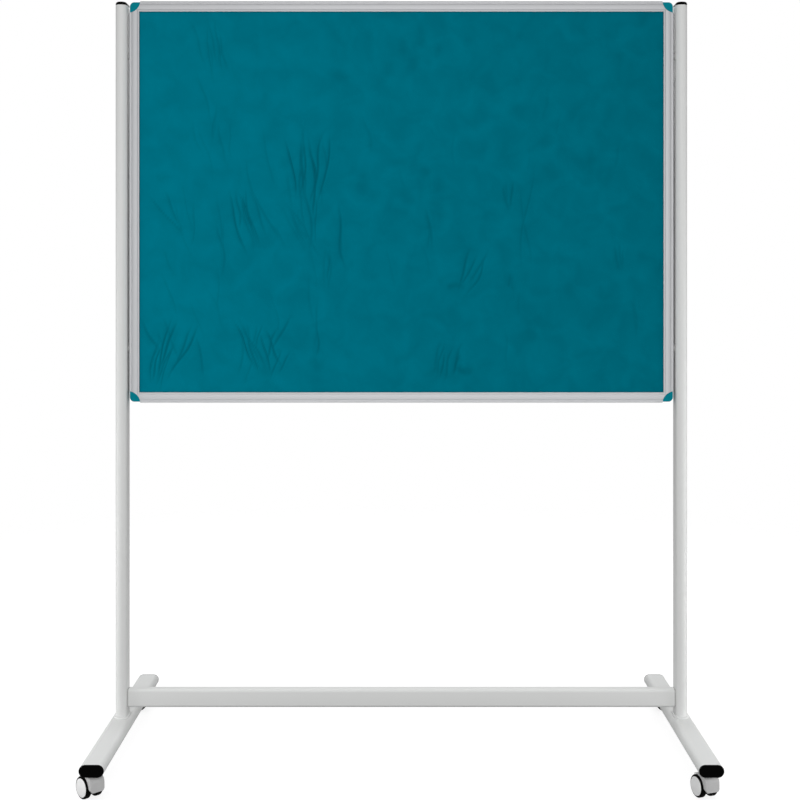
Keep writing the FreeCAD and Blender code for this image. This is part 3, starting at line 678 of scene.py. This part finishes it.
class PINBOARD_OT_rails(bpy.types.Operator):
    """Four mitred aluminium extrusions round the board"""

    bl_idname = "pinboard.rails"
    bl_label = "Frame rails"

    def execute(self, context):
        colour = context.scene.pinboard_board.aluminium_colour
        board = board_box()
        face = rail_face_width()
        loop = rail_loop(face, board.depth)
        end = rail_end(loop[:, 0], face)
        metal = {axis: anodised_aluminium(colour, axis) for axis in (0, 2)}
        rails = {
            "left_rail": (2, board.left, 1, board.bottom, board.top),
            "right_rail": (2, board.right, -1, board.bottom, board.top),
            "bottom_rail": (0, board.bottom, 1, board.left, board.right),
            "top_rail": (0, board.top, -1, board.left, board.right),
        }
        for node, (along, outer, inwards, start, stop) in rails.items():
            rows = np.zeros((1, 2, len(loop), 3))
            rows[..., 2 - along] = outer + inwards * loop[:, 0]
            rows[..., 1] = loop[:, 1]
            rows[0, 0, :, along] = start + end
            rows[0, 1, :, along] = stop - end
            rail = surface(f"{node}_extrusion", rows, metal[along], wrap_columns=True, caps=True)
            stands_for(rail, node)
        return {"FINISHED"}


class CreaseGroup(NamedTuple):
    """Creases that lie together on the felt.

    x and z place the group in metres from the felt's middle, and scatter_x and scatter_z
    spread its creases. lean is their slope from upright in degrees, and gather turns the
    outer ones in towards the lower end. reach is half a crease's length and width its
    breadth in millimetres; strength is its share of the full depth.
    """

    x: float
    z: float
    scatter_x: float
    scatter_z: float
    count: int
    lean: float
    gather: float
    reach: float
    width: float
    strength: float


# Strong bundles and lines first, then faint lines, then wide shallow dents.
CREASES = {
    "tall bundle, left half": CreaseGroup(-0.226, 0.075, 0.018, 0.012, 6, 3, 3, 105, 1.9, 1.0),
    "tall bundle, right half": CreaseGroup(-0.180, 0.062, 0.016, 0.014, 5, -2, 2, 90, 1.9, 0.95),
    "tail of the tall bundle": CreaseGroup(-0.205, -0.025, 0.016, 0.020, 3, 10, 4, 70, 1.9, 0.6),
    "slanting bundle": CreaseGroup(-0.330, -0.035, 0.036, 0.020, 9, 18, -6, 68, 1.8, 0.8),
    "faint slanting bundle": CreaseGroup(-0.245, -0.060, 0.038, 0.025, 7, 28, 6, 65, 1.8, 0.4),
    "long line left": CreaseGroup(-0.393, -0.100, 0.004, 0.010, 2, 0, 0, 80, 1.9, 0.55),
    "upright pair": CreaseGroup(-0.132, -0.075, 0.004, 0.010, 2, 0, 0, 78, 2.0, 0.7),
    "short upright pair": CreaseGroup(-0.160, -0.140, 0.006, 0.008, 3, 0, 4, 52, 2.2, 0.65),
    "bundle at the left": CreaseGroup(-0.487, -0.035, 0.032, 0.025, 6, 16, 14, 55, 1.8, 0.5),
    "bundle at the top left": CreaseGroup(-0.420, 0.325, 0.036, 0.030, 7, 10, 8, 60, 1.8, 0.45),
    "short line left": CreaseGroup(-0.414, 0.165, 0.004, 0.010, 2, -2, 0, 60, 1.8, 0.45),
    "long line right": CreaseGroup(0.277, -0.045, 0.005, 0.015, 2, 1, 0, 115, 1.8, 0.5),
    "short pair beside it": CreaseGroup(0.236, 0.015, 0.008, 0.006, 3, 0, 8, 28, 2.6, 0.6),
    "row below it": CreaseGroup(0.235, -0.176, 0.014, 0.003, 3, 0, 0, 26, 2.0, 0.45),
    "fan right of the middle": CreaseGroup(0.150, -0.155, 0.022, 0.014, 5, -24, 4, 45, 2.0, 0.7),
    "pair in the middle": CreaseGroup(0.066, -0.060, 0.010, 0.010, 3, 2, 4, 52, 2.0, 0.55),
    "bundle at the right": CreaseGroup(0.490, -0.120, 0.020, 0.008, 5, 2, 10, 34, 2.2, 0.5),
    "line low right": CreaseGroup(0.515, -0.250, 0.003, 0.005, 2, 2, 0, 45, 2.2, 0.5),
    "bundle low left": CreaseGroup(-0.506, -0.335, 0.045, 0.025, 9, -22, 8, 58, 1.8, 1.0),
    "second bundle low": CreaseGroup(-0.312, -0.325, 0.036, 0.018, 7, 22, 8, 62, 1.8, 1.0),
    "line low": CreaseGroup(-0.185, -0.297, 0.003, 0.004, 1, 0, 0, 45, 1.9, 0.9),
    "row at the bottom": CreaseGroup(0.100, -0.350, 0.060, 0.010, 8, -14, 14, 34, 2.2, 0.9),
    "faint lines over the left half": CreaseGroup(-0.320, 0.000, 0.200, 0.280, 22, 8, 16, 60, 1.9, 0.32),
    "faint lines low left": CreaseGroup(-0.400, -0.330, 0.160, 0.050, 12, 0, 30, 45, 1.9, 0.6),
    "faint lines over the right half": CreaseGroup(0.200, -0.050, 0.300, 0.300, 12, 0, 16, 45, 2.2, 0.25),
    "dents in the fan": CreaseGroup(0.130, -0.180, 0.020, 0.006, 3, 60, 30, 18, 6.0, 0.45),
    "dents at the bottom": CreaseGroup(0.135, -0.368, 0.025, 0.006, 4, 50, 30, 20, 7.0, 0.6),
    "dents low left": CreaseGroup(-0.220, -0.350, 0.140, 0.025, 6, 40, 40, 20, 9.0, 0.3),
    "dents at the top": CreaseGroup(-0.020, 0.325, 0.120, 0.050, 7, 10, 30, 26, 9.0, 0.28),
    "dents left of the middle": CreaseGroup(-0.100, 0.010, 0.060, 0.080, 6, 10, 30, 30, 11.0, 0.22),
    "dents in the middle": CreaseGroup(0.070, 0.030, 0.100, 0.060, 10, 50, 50, 26, 11.0, 0.28),
    "dents high right": CreaseGroup(0.360, 0.140, 0.120, 0.090, 10, 20, 50, 26, 11.0, 0.25),
    "dents low right": CreaseGroup(0.360, -0.260, 0.120, 0.080, 9, 20, 50, 26, 11.0, 0.25),
}


def crease_field(x, z, seed):
    """Depth of the creases at each point of the felt's face: 1 at most, and below 0 for the painted highlight
    beside a crease.

    A crease runs along s from its middle, on the curve k s s + a sin(3 s / reach + p).
    Its depth is a bell over the distance from that curve, in a wide shallow trough and with
    a painted highlight at one side, times a bell along s, so that it thins out towards both ends.
    The felt's shape sinks only by the depth above 0; in the colour the whole of it is painted shade and
    highlight.
    """
    lean_spread = 5
    reach_range = (0.5, 1.0)
    width_range = (0.7, 1.3)
    strength_range = (0.45, 1.0)
    bend_range = (-0.08, 0.08)
    swing_range = (0.01, 0.08)
    swing_pace = 3
    trough_share = 0.25
    trough_width = 4.0
    ridge_highlight_share = 0.3
    ridge_highlight_place = 2.2
    draw = np.random.default_rng(seed)
    dark = np.zeros_like(x)
    light = np.zeros_like(x)
    for group in CREASES.values():
        for _ in range(group.count):
            offset = draw.uniform(-1, 1)
            start_x = group.x + group.scatter_x * offset
            start_z = group.z + group.scatter_z * draw.uniform(-1, 1)
            turn = np.radians(group.lean - group.gather * offset + draw.normal(0, lean_spread))
            reach = group.reach * MM * draw.uniform(*reach_range)
            spread = group.width * MM * draw.uniform(*width_range)
            depth = group.strength * draw.uniform(*strength_range)
            bend = draw.uniform(*bend_range) / reach
            swing = reach * draw.uniform(*swing_range)
            phase = draw.uniform(0, 2 * np.pi)
            along = (x - start_x) * np.sin(turn) - (z - start_z) * np.cos(turn)
            across = (x - start_x) * np.cos(turn) + (z - start_z) * np.sin(turn)
            curve = bend * along ** 2 + swing * np.sin(swing_pace * along / reach + phase)
            off = (across - curve) / spread
            fade = depth * np.exp(-(along / reach) ** 4)
            bell = (1 - trough_share) * np.exp(-off ** 2) + trough_share * np.exp(-(off / trough_width) ** 2)
            dark = np.maximum(dark, fade * bell)
            # Painted highlight: a lighter streak beside each crease, with no ridge in the felt's shape.
            light = np.maximum(light, ridge_highlight_share * fade * np.exp(-(off - ridge_highlight_place) ** 2))
    return dark - light * (1 - dark)


def felt_stations(half, free_half, step):
    """Places across the felt: close together in the strip that swells beside the rail, even inside."""
    rim_places = np.array([-0.5, 0.0, 0.4, 0.8, 1.3, 2.0]) * MM
    inner = free_half - FELT_SWELL_WIDTH
    even = np.linspace(-inner, inner, round(2 * inner / step) + 1)
    rim = np.concatenate([[half], free_half - rim_places])
    return np.concatenate([-rim, even, rim[::-1]])


def felt_rows(side, seed, crease_depth):
    """Rows of a felt sheet and the creases at its points.

    The face stands a felt's thickness off the core. It sinks to the pinched thickness under
    the rails along 1 - (1 - d) ** 2 of the distance d from them, sways in three low waves and
    dips in its creases; the back lies flat on the core. The pinched rim gets a painted shade
    deeper than a crease's, standing for the shadow of the rails' lips.
    """
    step_x = 2.4 * MM
    step_z = 5.0 * MM
    pinch = 0.4 * MM
    rim_painted_shadow = 1.4
    wave = 0.12 * MM
    # Radians per metre across and up, and the phase in the middle, of each wave.
    wave_paces = ((9.1, 4.3, 0.6), (5.7, -12.2, 0.0), (3.1, 17.0, 0.0))
    low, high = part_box(f"{side}_felt")
    half_x = (high.x - low.x) / 2
    half_z = (high.z - low.z) / 2
    middle_z = (high.z + low.z) / 2
    free_x, free_z = felt_free_half()
    stations_x = felt_stations(half_x, free_x, step_x)
    stations_z = felt_stations(half_z, free_z, step_z)
    x, z = np.meshgrid(stations_x, stations_z, indexing="ij")
    inside = progress(np.minimum(free_x - np.abs(x), free_z - np.abs(z)), 0, FELT_SWELL_WIDTH)
    rise = 1 - (1 - inside) ** 2
    sway = wave * np.mean([np.sin(across * x + up * z + start) for across, up, start in wave_paces], axis=0)
    creases = crease_field(x, z, seed)
    # Painted shade and highlight for the felt's colour: the creases inside, and the rail lips' painted shadow
    # on the pinched rim.
    painted_shade_and_highlight = rise * creases + rim_painted_shadow * (1 - rise)
    sunk = wave + crease_depth * np.clip(creases, 0, 1)
    thick = (high.y - low.y) - pinch * (1 - rise) + rise * (sway - sunk)
    outward = ENDS[side]
    core_face = high.y if outward < 0 else low.y
    face = np.stack([x, core_face + outward * thick, z + middle_z], axis=-1)
    back = face[:, [-1, 0]]
    back[..., 1] = core_face
    rows = np.concatenate([face, back], axis=1)
    return rows[None], np.concatenate([painted_shade_and_highlight, np.zeros_like(painted_shade_and_highlight[:, :2])], axis=1)


class PINBOARD_OT_felts(bpy.types.Operator):
    """Felt on both sides of the board, pinched by the rails"""

    bl_idname = "pinboard.felts"
    bl_label = "Felt"

    def execute(self, context):
        settings = context.scene.pinboard_board
        felt = needle_felt(settings.felt_lit_left, settings.felt_shaded_right, settings.felt_crease_shade)
        for number, side in enumerate(ENDS):
            rows, painted_shade_and_highlight = felt_rows(side, settings.crease_seed + number, settings.crease_depth)
            node = f"{side}_felt"
            sheet = surface(f"{side}_felt_sheet", rows, felt, wrap_columns=True, caps=True,
                            attributes={"crease": painted_shade_and_highlight})
            stands_for(sheet, node)
        return {"FINISHED"}


def turned(radius, height, turns=48):
    """Rows of a turned piece about Z: (r cos t, r sin t, h) for each radius r and height h of its profile."""
    angle = np.linspace(0, 2 * np.pi, turns, endpoint=False)
    radius = np.broadcast_to(np.asarray(radius, float).reshape(len(height), -1), (len(height), turns))
    level = np.broadcast_to(np.asarray(height, float)[:, None], radius.shape)
    return np.stack([radius * np.cos(angle), radius * np.sin(angle), level], axis=-1)


def bolt_rows(length):
    """Rows of a flat-head bolt about Z: shank, thin head with a round shoulder and a hexagon socket.

    The socket's radius is a / cos(t') with a half its width and t' the angle from the
    middle of the nearest flat.
    """
    shank = 3.0 * MM
    head = BOLT_HEAD_RADIUS
    head_height = 1.2 * MM
    shoulder = 0.8 * MM
    socket = 2.0 * MM
    socket_depth = 2.0 * MM
    turns = 48
    angle = np.linspace(0, 2 * np.pi, turns, endpoint=False)
    hexagon = socket / np.cos((angle + np.pi / 6) % (np.pi / 3) - np.pi / 6)
    bend = np.linspace(0, np.pi / 2, 7)
    plain = np.concatenate([[0, shank, shank, head], head - shoulder + shoulder * np.cos(bend)])
    levels = np.concatenate([[-length, -length, 0, 0], head_height - shoulder + shoulder * np.sin(bend)])
    floor = head_height - socket_depth
    radii = np.concatenate([np.tile(plain[:, None], turns), [hexagon, hexagon, np.zeros(turns)]])
    return turned(radii, np.concatenate([levels, [head_height, floor, floor]]), turns)


def on_both_sides(rows, edge, heights):
    """Copies of turned rows with their axis along the outward X: at an edge of each side, at each height."""
    copies = []
    for sign in SIDES.values():
        laid = np.stack([sign * rows[..., 2], rows[..., 0], rows[..., 1]], axis=-1)
        copies += [laid + (sign * edge, 0, height) for height in heights]
    return np.stack(copies)


def bolt_heights(node):
    """Heights of the two rows of bolts of a node."""
    low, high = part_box(node)
    return low.z + BOLT_HEAD_RADIUS, high.z - BOLT_HEAD_RADIUS


class PINBOARD_OT_bolts(bpy.types.Operator):
    """Flat-head bolts through the uprights"""

    bl_idname = "pinboard.bolts"
    bl_label = "Bolts"

    def execute(self, context):
        steel = zinc_steel()
        outer_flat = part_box("right_upright_cap")[1].x
        lengths = {"board_bolts": 35.5 * MM, "crossbar_bolts": 47.0 * MM}
        for node, length in lengths.items():
            rows = on_both_sides(bolt_rows(length), outer_flat, bolt_heights(node))
            piece = surface(f"{node[:-1]}_set", rows, steel, wrap_columns=True)
            stands_for(piece, node)
        return {"FINISHED"}


class PINBOARD_OT_spacers(bpy.types.Operator):
    """Plugs in the crossbar's ends, and washers that keep the side rails clear of the uprights"""

    bl_idname = "pinboard.spacers"
    bl_label = "Plugs and spacers"

    def execute(self, context):
        colour = context.scene.pinboard_stand.plug_colour
        plastic = moulded_plastic("Grey nylon", colour, roughness=0.45, gloss=0.5,
                                  grain_size=0.8 * MM, grain_depth=0.05 * MM)
        dress(plastic, *[f"{side}_crossbar_plug" for side in SIDES])
        low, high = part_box("board_spacers")
        rail_edge = board_box().right
        thick = high.x - rail_edge
        hole = 3.3 * MM
        outer = 8.0 * MM
        chamfer = 0.4 * MM
        washer = turned([hole, outer - chamfer, outer, outer, outer - chamfer, hole],
                        [0, 0, chamfer, thick - chamfer, thick, thick])
        rows = on_both_sides(washer, rail_edge, (low.z + outer, high.z - outer))
        piece = surface("board_spacer_set", rows, plastic, wrap_rows=True, wrap_columns=True)
        stands_for(piece, "board_spacers")
        return {"FINISHED"}


class PINBOARD_OT_caps(bpy.types.Operator):
    """Black caps on the ends of the uprights and feet"""

    bl_idname = "pinboard.caps"
    bl_label = "Caps"

    def execute(self, context):
        colour = context.scene.pinboard_stand.cap_colour
        plastic = moulded_plastic("Black polyethylene", colour, roughness=0.45, gloss=0.02,
                                  grain_size=1.2 * MM, grain_depth=0.08 * MM)
        dress(plastic, *[f"{side}_upright_cap" for side in SIDES])
        dress(plastic, *[f"{corner}_foot_cap" for corner in CORNERS])
        return {"FINISHED"}


class PINBOARD_OT_corners(bpy.types.Operator):
    """Teal corner connectors of the board's frame"""

    bl_idname = "pinboard.corners"
    bl_label = "Frame corners"

    def execute(self, context):
        colour = context.scene.pinboard_board.corner_colour
        plastic = moulded_plastic("Teal ABS", colour, roughness=0.45, gloss=0.03,
                                  grain_size=1.0 * MM, grain_depth=0.05 * MM)
        dress(plastic, "bottom_left_corner", "top_left_corner", "top_right_corner", "bottom_right_corner")
        return {"FINISHED"}


class PINBOARD_OT_inner_pieces(bpy.types.Operator):
    """Pieces inside the board and the feet: core, nut plates and caster nuts"""

    bl_idname = "pinboard.inner_pieces"
    bl_label = "Inner pieces"

    def execute(self, context):
        dress(softboard(), "board_core")
        dress(zinc_steel(), "board_nut_plates", "caster_nuts")
        return {"FINISHED"}


class PINBOARD_OT_casters(bpy.types.Operator):
    """Four twin-wheel casters"""

    bl_idname = "pinboard.casters"
    bl_label = "Casters"

    def execute(self, context):
        settings = context.scene.pinboard_casters
        hood = moulded_plastic("Grey nylon hood", settings.hood_colour, roughness=0.42, gloss=0.5,
                               grain_size=1.0 * MM, grain_depth=0.06 * MM)
        wheel = moulded_plastic("Black nylon wheel", settings.wheel_colour, roughness=0.5, gloss=0.01,
                                grain_size=1.0 * MM, grain_depth=0.06 * MM)
        disc = moulded_plastic("Light grey ABS disc", settings.disc_colour, roughness=0.34, gloss=0.5,
                               grain_size=1.0 * MM, grain_depth=0.04 * MM)
        steel = zinc_steel()
        for corner in CORNERS:
            caster = f"{corner}_caster"
            dress(hood, f"{caster}_hood")
            dress(steel, f"{caster}_stem", f"{caster}_axle")
            dress(wheel, *[f"{caster}_{side}_wheel" for side in SIDES])
            dress(disc, *[f"{caster}_{side}_disc" for side in SIDES])
        return {"FINISHED"}


def white_world(sky, ground):
    """White background; its soft light grows from the ground's strength at the horizon to the sky's above."""
    world = bpy.data.worlds.new("White studio")
    world.use_nodes = True
    tree = world.node_tree
    direction = add_node(tree, "ShaderNodeTexCoord").outputs["Generated"]
    split = add_node(tree, "ShaderNodeSeparateXYZ", links={"Vector": direction})
    light = add_node(tree, "ShaderNodeMapRange", {"To Min": ground, "To Max": sky},
                     {"Value": split.outputs["Z"]})
    seen = add_node(tree, "ShaderNodeLightPath").outputs["Is Camera Ray"]
    level = add_node(tree, "ShaderNodeMapRange", {"To Max": 1.0},
                     {"Value": seen, "To Min": light.outputs["Result"]})
    background = tree.nodes["Background"]
    background.inputs["Color"].default_value = (1, 1, 1, 1)
    link(tree, background, {"Strength": level.outputs["Result"]})
    bpy.context.scene.world = world


def area_light(name, place, target, size, power):
    """Soft rectangular light that looks at a target."""
    data = bpy.data.lights.new(name, "AREA")
    data.shape = "RECTANGLE"
    data.size, data.size_y = size
    data.energy = power
    light = bpy.data.objects.new(name, data)
    light.location = place
    light.rotation_euler = (Vector(place) - Vector(target)).to_track_quat("Z", "Y").to_euler()
    light.visible_camera = False
    bpy.context.scene.collection.objects.link(light)


class PINBOARD_OT_stage(bpy.types.Operator):
    """White floor, soft lights and the camera"""

    bl_idname = "pinboard.stage"
    bl_label = "Stage"

    def execute(self, context):
        settings = context.scene.pinboard_stage
        context.scene.view_settings.view_transform = "Standard"
        white_world(settings.sky_strength, settings.ground_strength)
        stage_middle = (0, 0, 0.9)
        rings = np.linspace(0, settings.floor_radius, 24)
        floor = surface("studio_floor", turned(rings, 0 * rings, turns=96)[None],
                        studio_floor(settings.floor_radius), wrap_columns=True)
        floor.visible_diffuse = False
        for side, sign in SIDES.items():
            area_light(f"{side}_light", place=(sign * 1.6, -0.3, 0.4), target=(sign * 0.6, 0, 0.4),
                       size=(0.5, 1.2), power=settings.side_power)
        area_light("front_light", place=(0, -3.2, 1.6), target=stage_middle, size=(2.4, 1.4),
                   power=settings.front_power)
        area_light("rear_light", place=(0, 2.8, 2.4), target=stage_middle, size=(2.4, 1.4),
                   power=settings.rear_power)
        data = bpy.data.cameras.new("photo_camera")
        data.sensor_width = 36.0
        data.lens = settings.lens
        data.shift_x, data.shift_y = settings.shift
        camera = bpy.data.objects.new("photo_camera", data)
        camera.location = settings.eye
        camera.rotation_euler = (np.pi / 2, 0, 0)
        context.scene.collection.objects.link(camera)
        context.scene.camera = camera
        return {"FINISHED"}


OPERATORS = (
    PINBOARD_OT_uprights, PINBOARD_OT_feet, PINBOARD_OT_crossbar, PINBOARD_OT_rails, PINBOARD_OT_felts,
    PINBOARD_OT_bolts, PINBOARD_OT_spacers, PINBOARD_OT_caps, PINBOARD_OT_corners, PINBOARD_OT_inner_pieces,
    PINBOARD_OT_casters, PINBOARD_OT_stage,
)
GROUPS = {
    "pinboard_stand": StandSettings,
    "pinboard_board": BoardSettings,
    "pinboard_casters": CasterSettings,
    "pinboard_stage": StageSettings,
}


class PINBOARD_PT_panel(bpy.types.Panel):
    """Settings and operators of the pinboard"""

    bl_idname = "PINBOARD_PT_panel"
    bl_label = "Mobile Pinboard"
    bl_space_type = "VIEW_3D"
    bl_region_type = "UI"
    bl_category = "Pinboard"

    def draw(self, context):
        for group in GROUPS:
            settings = getattr(context.scene, group)
            box = self.layout.box()
            for name in settings.__annotations__:
                box.prop(settings, name)
        for operator in OPERATORS:
            self.layout.operator(operator.bl_idname)


def register():
    """Add the settings, operators and panel to Blender."""
    for group, settings in GROUPS.items():
        bpy.utils.register_class(settings)
        setattr(bpy.types.Scene, group, PointerProperty(type=settings))
    for operator in OPERATORS:
        bpy.utils.register_class(operator)
    bpy.utils.register_class(PINBOARD_PT_panel)


def unregister():
    """Remove the panel, operators and settings again."""
    bpy.utils.unregister_class(PINBOARD_PT_panel)
    for operator in reversed(OPERATORS):
        bpy.utils.unregister_class(operator)
    for group, settings in reversed(GROUPS.items()):
        delattr(bpy.types.Scene, group)
        bpy.utils.unregister_class(settings)


def main():
    """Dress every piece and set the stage."""
    register()
    bpy.ops.pinboard.uprights()
    bpy.ops.pinboard.feet()
    bpy.ops.pinboard.crossbar()
    bpy.ops.pinboard.rails()
    bpy.ops.pinboard.felts()
    bpy.ops.pinboard.bolts()
    bpy.ops.pinboard.spacers()
    bpy.ops.pinboard.caps()
    bpy.ops.pinboard.corners()
    bpy.ops.pinboard.inner_pieces()
    bpy.ops.pinboard.casters()
    bpy.ops.pinboard.stage()


if __name__ == "__main__":
    main()
